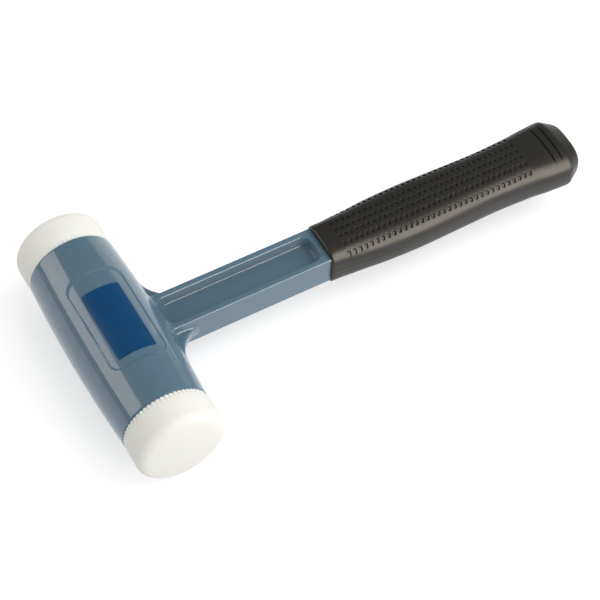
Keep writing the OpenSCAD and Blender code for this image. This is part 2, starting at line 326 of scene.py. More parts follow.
def skin_tree(low, high, voxel):
    tree, start, end = new_group(
        "casting skin",
        [("Geometry", "NodeSocketGeometry", None), ("Material", "NodeSocketMaterial", None)],
        [("Geometry", "NodeSocketGeometry")],
    )
    position = tree.nodes.new("GeometryNodeInputPosition").outputs[0]
    cube = tree.nodes.new("GeometryNodeVolumeCube")
    tree.links.new((-distance_at(tree, position)).socket, cube.inputs["Density"])
    cube.inputs["Background"].default_value = -1.0
    cube.inputs["Min"].default_value = low
    cube.inputs["Max"].default_value = high
    for axis, name in enumerate(("Resolution X", "Resolution Y", "Resolution Z")):
        cube.inputs[name].default_value = round((high[axis] - low[axis]) / voxel)
    mesher = tree.nodes.new("GeometryNodeVolumeToMesh")
    mesher.inputs["Threshold"].default_value = 0.0
    tree.links.new(cube.outputs[0], mesher.inputs[0])
    shape = mesher.outputs[0]
    reach = 0.02 * MM
    for _ in range(2):
        here = distance_at(tree, position)
        slopes = []
        for axis in range(3):
            step = [0.0, 0.0, 0.0]
            step[axis] = reach
            near = distance_at(tree, vector_math(tree, "ADD", position, tuple(step)))
            slopes.append((near - here) / (reach / MM))
        slope = join_xyz(tree, *slopes)
        steepness = Amount(tree, vector_math(tree, "DOT_PRODUCT", slope, slope))
        slide = vector_math(tree, "SCALE", slope, scale=here / steepness * -MM)
        mover = tree.nodes.new("GeometryNodeSetPosition")
        tree.links.new(shape, mover.inputs["Geometry"])
        tree.links.new(slide, mover.inputs["Offset"])
        shape = mover.outputs[0]
    finish_tree(tree, start, end, shape)
    return tree


def finish_tree(tree, start, end, shape):
    """Ends a tree the way the export needs it: real geometry with its material set."""
    real = tree.nodes.new("GeometryNodeRealizeInstances")
    paint = tree.nodes.new("GeometryNodeSetMaterial")
    tree.links.new(shape, real.inputs[0])
    tree.links.new(real.outputs[0], paint.inputs["Geometry"])
    tree.links.new(start.outputs["Material"], paint.inputs["Material"])
    tree.links.new(paint.outputs[0], end.inputs[0])


def grow(name, tree, material, base=None, **values):
    """Runs a tree on an object and returns a plain mesh object with the result."""
    holder = add_object(name + "_holder", base or bpy.data.meshes.new(name + "_base"))
    modifier = holder.modifiers.new(tree.name, "NODES")
    modifier.node_group = tree
    values["Material"] = material
    for item in tree.interface.items_tree:
        if item.in_out == "INPUT" and item.name in values:
            modifier[item.identifier] = values[item.name]
    bpy.context.view_layer.update()
    ready = holder.evaluated_get(bpy.context.evaluated_depsgraph_get())
    made = bpy.data.meshes.new_from_object(ready)
    holder.modifiers.remove(modifier)
    bpy.data.objects.remove(holder)
    print("grown", name, "with", len(made.polygons), "faces")
    return add_object(name, made)


# %% [markdown]
# ## Finishes
# Each finish is a node material on object coordinates, so it stays put when the camera moves.
# Two effects turn up in more than one finish: a fine grain and a faint cloudiness. They are
# shader groups with their own inputs, built once and placed in each material.

# %% Shared effects
grain, start, end = new_group(
    "fine grain",
    [("Scale", "NodeSocketFloat", 1000.0), ("Strength", "NodeSocketFloat", 0.1),
     ("Depth", "NodeSocketFloat", 0.05)],
    [("Normal", "NodeSocketVector"), ("Mask", "NodeSocketFloat")],
    "ShaderNodeTree",
)
coords = grain.nodes.new("ShaderNodeTexCoord")
noise = grain.nodes.new("ShaderNodeTexNoise")
noise.inputs["Detail"].default_value = 3.0
bump = grain.nodes.new("ShaderNodeBump")
grain.links.new(coords.outputs["Object"], noise.inputs["Vector"])
grain.links.new(start.outputs["Scale"], noise.inputs["Scale"])
grain.links.new(start.outputs["Strength"], bump.inputs["Strength"])
grain.links.new(start.outputs["Depth"], bump.inputs["Distance"])
grain.links.new(noise.outputs["Fac"], bump.inputs["Height"])
grain.links.new(bump.outputs[0], end.inputs["Normal"])
grain.links.new(noise.outputs["Fac"], end.inputs["Mask"])

clouds, start, end = new_group(
    "cloudiness",
    [("Scale", "NodeSocketFloat", 60.0), ("Low", "NodeSocketFloat", 0.4),
     ("High", "NodeSocketFloat", 0.5)],
    [("Value", "NodeSocketFloat")],
    "ShaderNodeTree",
)
coords = clouds.nodes.new("ShaderNodeTexCoord")
noise = clouds.nodes.new("ShaderNodeTexNoise")
noise.inputs["Detail"].default_value = 4.0
spread = clouds.nodes.new("ShaderNodeMapRange")
spread.inputs["From Min"].default_value = 0.35
spread.inputs["From Max"].default_value = 0.65
clouds.links.new(coords.outputs["Object"], noise.inputs["Vector"])
clouds.links.new(start.outputs["Scale"], noise.inputs["Scale"])
clouds.links.new(noise.outputs["Fac"], spread.inputs["Value"])
clouds.links.new(start.outputs["Low"], spread.inputs["To Min"])
clouds.links.new(start.outputs["High"], spread.inputs["To Max"])
clouds.links.new(spread.outputs[0], end.inputs["Value"])
print("shared effects:", grain.name, "and", clouds.name)

# %% [markdown]
# A finish needs the same few steps every time: a Principled shader, a colour that runs between
# two close shades, and a roughness that clouds over. One helper takes them all, so each finish
# below is only its own numbers.


# %% Colours and materials
def srgb(*levels):
    """A screen colour, 0 to 255, as the linear colour that a shader takes."""
    shares = [level / 255 for level in levels]
    return tuple(s / 12.92 if s <= 0.04045 else ((s + 0.055) / 1.055) ** 2.4 for s in shares) + (1.0,)


def new_material(name, **sockets):
    material = bpy.data.materials.new(name)
    material.use_nodes = True
    shader = material.node_tree.nodes["Principled BSDF"]
    for label, value in sockets.items():
        shader.inputs[label.replace("_", " ")].default_value = value
    return material, material.node_tree, shader


def place_group(tree, group, **values):
    node = tree.nodes.new("ShaderNodeGroup")
    node.node_tree = group
    for label, value in values.items():
        node.inputs[label].default_value = value
    return node


def mix_colours(tree, mask, low, high):
    node = tree.nodes.new("ShaderNodeMix")
    node.data_type = "RGBA"
    node.inputs["A"].default_value = low
    node.inputs["B"].default_value = high
    tree.links.new(mask, node.inputs["Factor"])
    return node.outputs["Result"]


def finish(name, low, high, gloss, speckle=None, **sockets):
    """A material between two shades, with clouds over its gloss and a grain where it has one."""
    material, tree, shader = new_material(name, **sockets)
    cloud = place_group(tree, clouds, **gloss)
    mask = cloud.outputs["Value"]
    if speckle:
        fine = place_group(tree, grain, **speckle)
        tree.links.new(fine.outputs["Normal"], shader.inputs["Normal"])
        mask = fine.outputs["Mask"]
    tree.links.new(mix_colours(tree, mask, srgb(*low), srgb(*high)), shader.inputs["Base Color"])
    tree.links.new(cloud.outputs["Value"], shader.inputs["Roughness"])
    print("finish:", name)
    return material


# %% [markdown]
# The steel is sprayed blue-grey under a clear gloss, and fine flakes glint in the colour. A
# painted texture would blur close up, while the grain group speckles it at any distance. The
# coat is the sharp mirror on top, and the rougher paint under it spreads the light.

# %% Painted steel
PAINT = finish(
    "blue_grey_paint", (61, 90, 107), (109, 137, 155), dict(Scale=45.0, Low=0.36, High=0.44),
    dict(Scale=2600.0, Strength=0.35, Depth=0.00006), Specular_IOR_Level=0.2, Coat_Weight=1.0,
    Coat_IOR=1.4, Coat_Roughness=0.04,
)

# %% [markdown]
# Nylon lets some light in and lets it out again beside where it fell, which softens every
# shadow on it. Subsurface scattering does that. A pale base colour alone would look like chalk.

# %% Nylon
NYLON = finish(
    "off_white_nylon", (236, 234, 227), (245, 244, 238), dict(Scale=70.0, Low=0.5, High=0.6),
    dict(Scale=900.0, Strength=0.12, Depth=0.00004), IOR=1.53, Specular_IOR_Level=0.2,
    Subsurface_Weight=0.25, Subsurface_Scale=0.004,
)

# %% [markdown]
# Grip rubber is never quite black, and hands polish it in patches. A middling roughness gives
# the long soft highlight down its shoulder, and the clouds let that highlight wander a little.

# %% Grip rubber
RUBBER = finish(
    "black_grip_rubber", (38, 37, 35), (48, 47, 44), dict(Scale=60.0, Low=0.33, High=0.39),
    dict(Scale=1800.0, Strength=0.3, Depth=0.00008), IOR=1.38,
)

# %% [markdown]
# The label is printed film: smoother than the paint, with a thin clear layer and no grain. Its
# clouds shift the ink a shade as well as the gloss.

# %% Label film
FILM = finish(
    "label_film", (6, 64, 106), (12, 76, 122), dict(Scale=90.0, Low=0.3, High=0.36),
    IOR=1.5, Specular_IOR_Level=0.3, Coat_Weight=0.2, Coat_Roughness=0.08,
)

# %% [markdown]
# Discs and shot stay unpainted inside the head. With Metallic at 1 the base colour becomes the
# tint of whatever the steel mirrors, so two light greys are enough.

# %% Bare steel
STEEL = finish(
    "bare_steel", (160, 160, 158), (196, 196, 194), dict(Scale=120.0, Low=0.24, High=0.36),
    dict(Scale=700.0, Strength=0.15, Depth=0.00003), Metallic=1.0,
)

# %% [markdown]
# ## Machining the casting
# The mouths and the shot chamber are machined after casting, so they are cut into the finished
# skin by plain cylinders, which keeps their edges crisp. The tang is joined on the same way.


# %% Plain bars for cutting and joining
def bar(name, outline, axis, first, last):
    """A prism: an outline of (a, b) pairs swept along X or Y from first to last."""
    count = len(outline)
    points = []
    for along in (first, last):
        for a, b in outline:
            points.append(AXIS + Vector((along, a, b) if axis == "X" else (a, along, b)))
    ends = [range(count)[::-1], range(count, 2 * count)]
    tool = add_object(name, mesh_of(name, points, ring_faces(1, count) + ends))
    face_outward(tool.data)
    return tool


def circle_outline(radius, steps):
    turns = [math.tau * i / steps for i in range(steps)]
    return [(radius * math.cos(t), radius * math.sin(t)) for t in turns]


def soft_box(half_a, half_b, radius, steps=4):
    """The outline of a rectangle with round corners."""
    outline = []
    for quarter in range(4):
        for i in range(steps + 1):
            turn = math.pi / 2 * (quarter + i / steps)
            side_a = 1 if quarter in (0, 3) else -1
            side_b = 1 if quarter in (0, 1) else -1
            outline.append((
                side_a * (half_a - radius) + radius * math.cos(turn),
                side_b * (half_b - radius) + radius * math.sin(turn),
            ))
    return outline


def combine(piece, tool, operation):
    """Applies one boolean and throws the tool away."""
    modifier = piece.modifiers.new(operation, "BOOLEAN")
    modifier.operation = operation
    modifier.solver = "MANIFOLD"
    modifier.object = tool
    bpy.context.view_layer.update()
    ready = piece.evaluated_get(bpy.context.evaluated_depsgraph_get())
    made = bpy.data.meshes.new_from_object(ready)
    piece.modifiers.remove(modifier)
    piece.data = made
    bpy.data.objects.remove(tool)


def finish_piece(piece, body, slot, *nodes, edge_angle=35, material=None):
    """Smooth shading with crisp machined edges, one finish, and its place in the frame."""
    mesh = piece.data
    if material:
        mesh.materials.clear()
        mesh.materials.append(material)
    mesh.shade_smooth()
    mesh.set_sharp_from_angle(angle=math.radians(edge_angle))
    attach(piece, body)
    if nodes:
        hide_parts(*nodes)
    mesh.calc_loop_triangles()
    print(piece.name, len(mesh.loop_triangles), "triangles")


print("tools for booleans: bars along X or Y")

# %% [markdown]
# The grid has to reach a little past the skin on every side, or the mesh would be open there.
# Each cutter reaches a little past the last one, so that no two faces lie in one plane.

# %% The finished casting
VOXEL = 0.57 * MM
MARGIN, PROUD = 2, 1
BORE_R, CHAMBER_R, MOUTH_L, BORE_STEPS = 18.5, 17.0, 24.0, 144
TANG_HALF_W, TANG_HALF_H, TANG_EDGE, TANG_ROOT = 7.5, 5.25, 1.3, 5
low = (AXIS - Vector((HEAD_R + MARGIN, HEAD_HALF + MARGIN, HEAD_R + MARGIN))) * MM
high = (AXIS + Vector((SHANK_X1 + MARGIN, HEAD_HALF + MARGIN, HEAD_R + MARGIN))) * MM
casting = grow("head_casting_skin", skin_tree(tuple(low), tuple(high), VOXEL), PAINT)
tang = soft_box(TANG_HALF_W, TANG_HALF_H, TANG_EDGE)
combine(casting, bar("tang", tang, "X", SHANK_X1 - TANG_ROOT, TANG_X1), "UNION")
chamber_half = HEAD_HALF - MOUTH_L + PROUD
chamber = bar("chamber", circle_outline(CHAMBER_R, BORE_STEPS), "Y", -chamber_half, chamber_half)
combine(casting, chamber, "DIFFERENCE")
for side in (-1, 1):
    ends = sorted((side * (HEAD_HALF - MOUTH_L), side * (HEAD_HALF + PROUD)))
    combine(casting, bar("mouth", circle_outline(BORE_R, BORE_STEPS), "Y", *ends), "DIFFERENCE")
finish_piece(casting, "hammer", "painted_steel", "head_casting", material=PAINT)

# %% [markdown]
# ## Nylon faces
# A face is turned: one profile spun round the head's axis. Its seam carries sixty little ribs,
# which a node tree adds by pushing the spun points in and out along a wave, so that ribs and
# body stay one closed skin.

# %% The profile of a face
FACE_R, SEAM_R, FACE_L, CROWN, RIM_R = 22.5, 22.0, 18.2, 1.6, 5.2
PLUG_R, PLUG_L, PLUG_BEVEL = 18.45, 20.8, 1.0
SEAM_CHAMFER, SWELL_L, MID_RING, NECK_L = 0.25, 4, 10, 0.4
RIM_STEPS, CROWN_STEPS = 12, 14
RIBS, RIB_L, RIB_H = 60, 1.3, {"front": 0.8, "rear": 0.35}
RIB_LEVEL, RIB_FADE, RIB_ZONE = 0.6, (0.6, 1.0), (PLUG_R + 0.5, SEAM_R - 0.3)
CROWN_EDGE = FACE_R - RIM_R
CROWN_R = (CROWN**2 + CROWN_EDGE**2) / (2 * CROWN)


def arc(centre_r, centre_h, radius, first, last, steps):
    turns = np.radians(np.linspace(first, last, steps + 1))
    return [(centre_r + radius * math.cos(t), centre_h + radius * math.sin(t)) for t in turns]


def face_profile():
    """(radius, height above the seam) from the plug's end to the middle of the crown."""
    lean = math.degrees(math.asin(CROWN_EDGE / CROWN_R))
    side = [(SEAM_R, h) for h in np.linspace(SEAM_CHAMFER, RIB_L, 7)]
    swell = [
        (FACE_R - (FACE_R - SEAM_R) * (1 - s) ** 2, RIB_L + s * SWELL_L) for s in (0.33, 0.66, 1)
    ]
    return [
        (0, -PLUG_L), (PLUG_R - PLUG_BEVEL, -PLUG_L), (PLUG_R, PLUG_BEVEL - PLUG_L),
        (PLUG_R, -NECK_L), (PLUG_R, 0), (SEAM_R - SEAM_CHAMFER, 0), *side, *swell,
        (FACE_R, MID_RING), *arc(CROWN_EDGE, FACE_L - RIM_R, RIM_R, 0, 90 - lean, RIM_STEPS),
        *arc(0, FACE_L + CROWN - CROWN_R, CROWN_R, 90 - lean, 90, CROWN_STEPS)[1:-1],
        (0, FACE_L + CROWN),
    ]


def spun(name, profile, steps, seat, direction):
    """A mesh of the profile spun round the head's axis, from seat along direction."""
    rings = profile[1:-1]
    turns = [math.tau * i / steps for i in range(steps)]
    points = [
        AXIS + Vector((r * math.sin(t), seat + direction * h, r * math.cos(t)))
        for r, h in rings for t in turns
    ]
    last = len(rings) - 1
    faces = ring_faces(last, steps)
    for pole, ring in ((profile[0], 0), (profile[-1], last)):
        points.append(AXIS + Vector((0, seat + direction * pole[1], 0)))
        tip = len(points) - 1
        faces += [(ring * steps + i, ring * steps + (i + 1) % steps, tip) for i in range(steps)]
    made = mesh_of(name, points, faces)
    face_outward(made)
    return made


print("profile of a face:", len(face_profile()), "points")

# %% [markdown]
# Round the seam, where nylon meets steel, the moulding carries fine upright ribs. A cosine of
# the angle round the axis, taken without its sign, is just such a row of scallops. Its number
# and height are inputs of the tree, so each face can have its own.


# %% A tree that raises the seam ribs
def rib_tree(name, seat, direction):
    tree, start, end = new_group(
        name,
        [("Geometry", "NodeSocketGeometry", None), ("Material", "NodeSocketMaterial", None),
         ("Ribs", "NodeSocketFloat", float(RIBS)), ("Height", "NodeSocketFloat", 0.5)],
        [("Geometry", "NodeSocketGeometry")],
    )
    position = tree.nodes.new("GeometryNodeInputPosition").outputs[0]
    local = vector_math(tree, "SUBTRACT", position, tuple(AXIS * MM))
    x, y, z = split_xyz(tree, vector_math(tree, "SCALE", local, scale=1 / MM))
    turn = x.math("ARCTAN2", z)
    wave = abs((turn * Amount(tree, start.outputs["Ribs"]) * 0.5).math("COSINE"))
    above = (y - seat) * direction
    outside = step_up(length_of(x, z), *RIB_ZONE)
    fade = step_up(-above, -RIB_L - RIB_FADE[1], -RIB_L + RIB_FADE[0]) * outside
    push = (wave - RIB_LEVEL) * fade * Amount(tree, start.outputs["Height"]) * MM
    out = vector_math(tree, "NORMALIZE", join_xyz(tree, x, 0.0, z))
    mover = tree.nodes.new("GeometryNodeSetPosition")
    tree.links.new(start.outputs["Geometry"], mover.inputs["Geometry"])
    tree.links.new(vector_math(tree, "SCALE", out, scale=push), mover.inputs["Offset"])
    finish_tree(tree, start, end, mover.outputs[0])
    return tree


PER_RIB = 8
for name, direction, tip in (("front", -1, face_low.y), ("rear", 1, rear_high.y)):
    seat = tip - direction * (FACE_L + CROWN)
    base = spun(name + "_face_base", face_profile(), RIBS * PER_RIB, seat, direction)
    tree = rib_tree(name + " seam ribs", seat, direction)
    face = grow(name + "_face_skin", tree, NYLON, base, Height=RIB_H[name])
    finish_piece(face, name + "_face", "nylon", name + "_nylon_face", edge_angle=50)

# %% [markdown]
# ## The grip
# The grip is one moulding: a squarish round section whose width swells and narrows along the
# hand. It is laid out flat first, as a sheet of x along the hammer and v round the section, and
# then wrapped by one function. The rows of blind dimples repeat one small cell, so a node tree
# copies that cell over the flat sheet before the wrap.

# %% The form of the grip
POWER, LOWER_POWER, FRONT_POWER, FRONT_SHARE = 2.7, 3.2, 3.6, 0.2
WIDTH_SHARES = ((0, 0.732), (0.08, 0.782), (0.22, 0.882), (0.36, 0.92), (0.53, 0.89),
                (0.7, 0.861), (0.85, 0.903), (0.92, 0.962), (1, 1))
LIP_R, BUTT_L = 1.2, 8.2
BUTT_SHARES = ((0, 1), (0.1, 0.996), (0.2, 0.98), (0.32, 0.945), (0.9, 0.775), (1, 0.72))
DIMPLE_X0, DIMPLE_PITCH, ROW_PITCH, COLUMNS, ROWS = GRIP_X0 + 9.6, 3.16, 4.7, 34, 6
DIMPLE_R, DIMPLE_DEPTH = 0.92, 1.0
PAD_X0 = DIMPLE_X0 - DIMPLE_PITCH / 2
PAD_X1 = PAD_X0 + COLUMNS * DIMPLE_PITCH
PAD_V = ROWS * ROW_PITCH / 2
CELL_EDGES = ((0, 4.7, 9.4, PAD_V), (0, 4.2, 8.9, 14.7))
RIM_V, PAD_EDGE, PAD_SHARE, PAD_SPARE = 12.8, 14.0, 0.955, 0.1
SIDE_V = 20.0
WHOLE_V = 4 * PAD_V + 2 * SIDE_V
GROOVE_INSET, GROOVE_PITCH = 11, 4.2
GROOVES = (GRIP_X1 - GROOVE_INSET - GROOVE_PITCH, GRIP_X1 - GROOVE_INSET)
GROOVE_W, GROOVE_DEPTH, GROOVE_REACH, GROOVE_FADE = 0.7, 0.8, 11.5, 1.5
print("dimpled pads", round(PAD_X1 - PAD_X0, 1), "mm long; once round is", WHOLE_V, "mm of sheet")

# %% [markdown]
# The wrap is the one place that knows the grip's form. Round a section it follows a
# superellipse: a power of 2 would be an oval, and a higher power fills the corners. The front
# is the squarest. Along the hand the half width follows a curve through a few shares, and lip
# and butt shrink the whole section.


# %% From the flat sheet to the grip's surface
def width_share(t):
    """A smooth curve through the shares, with even slopes at each of them."""
    places = np.array([p for p, _ in WIDTH_SHARES])
    shares = np.array([s for _, s in WIDTH_SHARES])
    i = np.clip(np.searchsorted(places, t, side="right") - 1, 0, len(places) - 2)
    u = (t - places[i]) / (places[i + 1] - places[i])
    a, b = shares[np.maximum(i - 1, 0)], shares[i]
    c, d = shares[i + 1], shares[np.minimum(i + 2, len(places) - 1)]
    square = 2 * a - 5 * b + 4 * c - d
    cube = 3 * b - a - 3 * c + d
    return 0.5 * (2 * b + (c - a) * u + square * u**2 + cube * u**3)


def grip_share(x):
    """0 behind the lip and 1 where the bevel of the butt begins."""
    return np.clip((x - GRIP_X0 - LIP_R) / (GRIP_X1 - GRIP_X0 - LIP_R - BUTT_L), 0, 1)


def half_sizes(x):
    """Half width and half height of the grip's section at x."""
    wide = GRIP_HALF_W * width_share(grip_share(x))
    tall = np.full_like(wide, GRIP_HALF_H)
    into_lip = np.clip((GRIP_X0 + LIP_R - x) / LIP_R, 0, 1)
    drop = LIP_R * (1 - np.sqrt(1 - into_lip**2))
    into_butt = np.clip((x - GRIP_X1 + BUTT_L) / BUTT_L, 0, 1)
    shrink = np.interp(into_butt, *zip(*BUTT_SHARES))
    return (wide - drop) * shrink, (tall - drop) * shrink


def wrap(x, v, depth):
    """Flat sheet places to the grip's surface. v goes once round: pad, side, pad, side."""
    wide, tall = half_sizes(x)
    v = np.mod(v + PAD_V, WHOLE_V)
    lower = v >= 2 * PAD_V + SIDE_V
    v = np.where(lower, v - 2 * PAD_V - SIDE_V, v)
    below = np.where(lower, v < 2 * PAD_V + SIDE_V / 2, v > 2 * PAD_V + SIDE_V / 2)
    front = np.maximum(0, 1 - grip_share(x) / FRONT_SHARE)
    power = np.where(below, LOWER_POWER, POWER)
    power = power + (FRONT_POWER - power) * front**2
    on_pad = v <= 2 * PAD_V
    across = np.where(on_pad, v - PAD_V, PAD_V)
    edge = np.minimum(PAD_EDGE, wide * PAD_SHARE)
    rim = np.interp(RIM_V, *CELL_EDGES)
    beyond = np.clip((np.abs(across) - RIM_V) / (PAD_V - RIM_V), 0, 1)
    inner = np.interp(np.minimum(np.abs(across), RIM_V), *CELL_EDGES)
    inner = inner * np.minimum(1, (edge - PAD_SPARE) / rim)
    flat_y = np.sign(across) * (inner + beyond * (edge - inner))
    share = np.clip(np.abs(flat_y) / wide, 0, 1)
    pad_z = tall * (1 - share**power) ** (1 / power)
    limit = np.arccos((edge / wide) ** (power / 2))
    turn = limit * (1 - 2 * np.clip((v - 2 * PAD_V) / SIDE_V, 0, 1))
    side_y = wide * np.cos(turn) ** (2 / power)
    side_z = tall * np.sign(turn) * np.abs(np.sin(turn)) ** (2 / power)
    y = np.where(on_pad, flat_y, side_y)
    z = np.where(on_pad, pad_z - depth, side_z)
    flip = np.where(lower, -1, 1)
    return np.stack([x, y * flip, z * flip], 1)


print("grip", [round(float(2 * half[0]), 1) for half in half_sizes(np.array([PAD_X0]))],
      "mm wide and high where the dimples begin")

# %% [markdown]
# A dimple is a blind hole with a rolled rim, and there are hundreds of them, so each one is
# kept to about eighty faces. The cell's border is a rectangle, and its rings turn round towards
# the pit. Neighbouring borders share their points, so copies side by side close into one sheet.

# %% One dimple and its surroundings
CELL_STEPS = 16
PIT = ((1.14, 0.0), (1.03, 0.05), (0.97, 0.2), (0.9, 0.85), (0.72, 1.0))


def dimple_cell():
    """One cell of the flat sheet, with its depth kept in z: border, rolled rim and pit."""
    hx, hv = DIMPLE_PITCH / 2, ROW_PITCH / 2
    side = CELL_STEPS // 4
    border = []
    for quarter in range(4):
        for i in range(side):
            s = 2 * i / side - 1
            a, b = ((1, s), (-s, 1), (-1, -s), (s, -1))[quarter]
            border.append((hx * a, hv * b))
    points = [(a, b, 0.0) for a, b in border]
    for share, depth in PIT:
        radius = share * DIMPLE_R
        for a, b in border:
            turn = math.atan2(b / hv, a / hx)
            points.append((radius * math.cos(turn), radius * math.sin(turn), depth * DIMPLE_DEPTH))
    floor_ring = range(len(PIT) * CELL_STEPS, len(points))
    return mesh_of("dimple_cell", points, [*ring_faces(len(PIT), CELL_STEPS), floor_ring])


cell = add_object("dimple_cell", dimple_cell())
print("one dimple:", len(cell.data.polygons), "faces")

# %% [markdown]
# Some two hundred pits to a side would be slow to model one by one, and slow to change. The tree
# puts an instance of the cell on every point of a grid instead. Rows, columns and pitch are its
# inputs, so the pattern can be tried out in the modifier.


# %% A tree that repeats the dimple
def pad_tree():
    tree, start, end = new_group(
        "rows of dimples",
        [("Geometry", "NodeSocketGeometry", None), ("Material", "NodeSocketMaterial", None),
         ("Cell", "NodeSocketObject", None), ("Columns", "NodeSocketInt", COLUMNS),
         ("Rows", "NodeSocketInt", ROWS), ("Pitch", "NodeSocketFloat", DIMPLE_PITCH * MM),
         ("Row pitch", "NodeSocketFloat", ROW_PITCH * MM)],
        [("Geometry", "NodeSocketGeometry")],
    )
    columns = Amount(tree, start.outputs["Columns"])
    rows = Amount(tree, start.outputs["Rows"])
    length = (columns - 1.0) * Amount(tree, start.outputs["Pitch"])
    width = (rows - 1.0) * Amount(tree, start.outputs["Row pitch"])
    grid = tree.nodes.new("GeometryNodeMeshGrid")
    tree.links.new(start.outputs["Columns"], grid.inputs["Vertices X"])
    tree.links.new(start.outputs["Rows"], grid.inputs["Vertices Y"])
    tree.links.new(length.socket, grid.inputs["Size X"])
    tree.links.new(width.socket, grid.inputs["Size Y"])
    source = tree.nodes.new("GeometryNodeObjectInfo")
    tree.links.new(start.outputs["Cell"], source.inputs["Object"])
    copies = tree.nodes.new("GeometryNodeInstanceOnPoints")
    tree.links.new(grid.outputs["Mesh"], copies.inputs["Points"])
    tree.links.new(source.outputs["Geometry"], copies.inputs["Instance"])
    finish_tree(tree, start, end, copies.outputs[0])
    return tree


pad = grow("pad", pad_tree(), RUBBER, Cell=cell)
pad_points = np.array([v.co for v in pad.data.vertices]) / MM
pad_faces = [list(f.vertices) for f in pad.data.polygons]
pad_points[:, 0] += (PAD_X0 + PAD_X1) / 2
for leftover in (pad, cell):
    bpy.data.objects.remove(leftover)
print("dimples on one side:", COLUMNS * ROWS)

# %% [markdown]
# The rest of the sheet is a plain lattice whose lines meet the cells point for point. Lines
# crowd together at the lip, the grooves and the bevel, where the form changes fast, and a
# fine ridge down each side is the flash left where the mould's halves met.

# %% The lattice round the dimples
PER_CELL = CELL_STEPS // 4
half_turns = np.append(np.arange(0, 0.41, 0.04), (0.43, 0.455, 0.475, 0.488))
side_turns = np.concatenate([half_turns, [0.5], 1 - half_turns[::-1]])
pad_lines = np.linspace(-PAD_V, PAD_V, ROWS * PER_CELL + 1)
right_lines = PAD_V + SIDE_V * side_turns
half_ring = np.concatenate([pad_lines[:-1], right_lines[:-1]])
ring_lines = np.concatenate([half_ring, half_ring + WHOLE_V / 2])
lip_lines = GRIP_X0 + LIP_R * (1 - np.cos(np.radians(np.arange(0, 91, 15))))
front_lines = np.linspace(GRIP_X0 + LIP_R, PAD_X0, 8)[1:]
pad_columns = np.linspace(PAD_X0, PAD_X1, COLUMNS * PER_CELL + 1)
GROOVE_ROLL, GROOVE_CLEAR = 0.12, 0.4
groove_lines = [
    g + edge + roll for g in GROOVES for edge in (0, GROOVE_W)
    for roll in (-GROOVE_ROLL, 0, GROOVE_ROLL)
]
butt_shares = np.array([0, 0.1, 0.15, 0.2, 0.26, 0.32, 0.45, 0.6, 0.75, 0.85, 0.9, 0.95, 1])
rear_lines = np.concatenate([
    np.linspace(PAD_X1, GROOVES[0] - GROOVE_CLEAR, 9)[1:], groove_lines,
    np.linspace(GROOVES[1] + GROOVE_W + GROOVE_CLEAR, GRIP_X1 - BUTT_L - 0.5, 3),
    GRIP_X1 - BUTT_L * (1 - butt_shares),
])
stations = np.unique(np.concatenate([lip_lines, front_lines, pad_columns, rear_lines]).round(6))
print("lattice:", len(stations), "stations of", len(ring_lines), "points")

# %% [markdown]
# Two details are pushed into the wrapped lattice: the mould's flash line, which stands out a
# little, and the two ring grooves, which are pressed in. Both are simple functions of place, so
# their edges stay as crisp as the lattice lines that were laid for them.

# %% Flash line and grooves
FLASH_H, FLASH_HALF_W = 0.16, 0.3
FLASH_END, FLASH_LEFT = (30, 60), (1, 0.15)
HAIR = 0.01


def ridge(x, v):
    """Height of the mould's flash line, which was trimmed away behind the front of the grip."""
    middle = PAD_V + SIDE_V / 2
    apart = np.minimum(np.abs(v - middle), np.abs(v - middle - 2 * PAD_V - SIDE_V))
    left = np.interp(x - GRIP_X0, FLASH_END, FLASH_LEFT)
    return FLASH_H * np.clip(1 - apart / FLASH_HALF_W, 0, 1) * left


def groove_cut(points, x):
    """Sinks the grooves, which fade out where the top turns down into the sides."""
    for g in GROOVES:
        inside = (x > g - GROOVE_ROLL / 2) & (x < g + GROOVE_W + GROOVE_ROLL / 2)
        fade = np.clip((GROOVE_REACH - np.abs(points[:, 1])) / GROOVE_FADE, 0, 1) * inside
        points[:, 2] -= np.sign(points[:, 2]) * GROOVE_DEPTH * fade
    return points


xs, vs = np.meshgrid(stations, ring_lines, indexing="ij")
xs, vs = xs.ravel(), vs.ravel()
sheet_points = wrap(xs, vs, np.zeros_like(xs))
sheet_points[:, 1] += np.sign(sheet_points[:, 1]) * ridge(xs, vs)
sheet_points = groove_cut(sheet_points, xs)
around = len(ring_lines)
on_pad_line = np.arange(around) % len(half_ring) < len(pad_lines) - 1
sheet_faces = []
for k in range(len(stations) - 1):
    dimpled = PAD_X0 - HAIR < stations[k] < PAD_X1 - HAIR
    for i in range(around):
        if dimpled and on_pad_line[i]:
            continue
        a, b = k * around + i, k * around + (i + 1) % around
        sheet_faces.append((a, b, b + around, a + around))
sheet_faces.append(list(range(around)))
sheet_faces.append(list(range((len(stations) - 1) * around, len(stations) * around)))
print("sheet without its dimples:", len(sheet_faces), "faces")

# %% [markdown]
# The sheet has a gap where each pad goes. The pads are wrapped by the same function, so their
# borders land on the lattice's own points, and merging doubles sews the whole grip into one
# closed skin. Its ends are then hollowed for shank and tang.

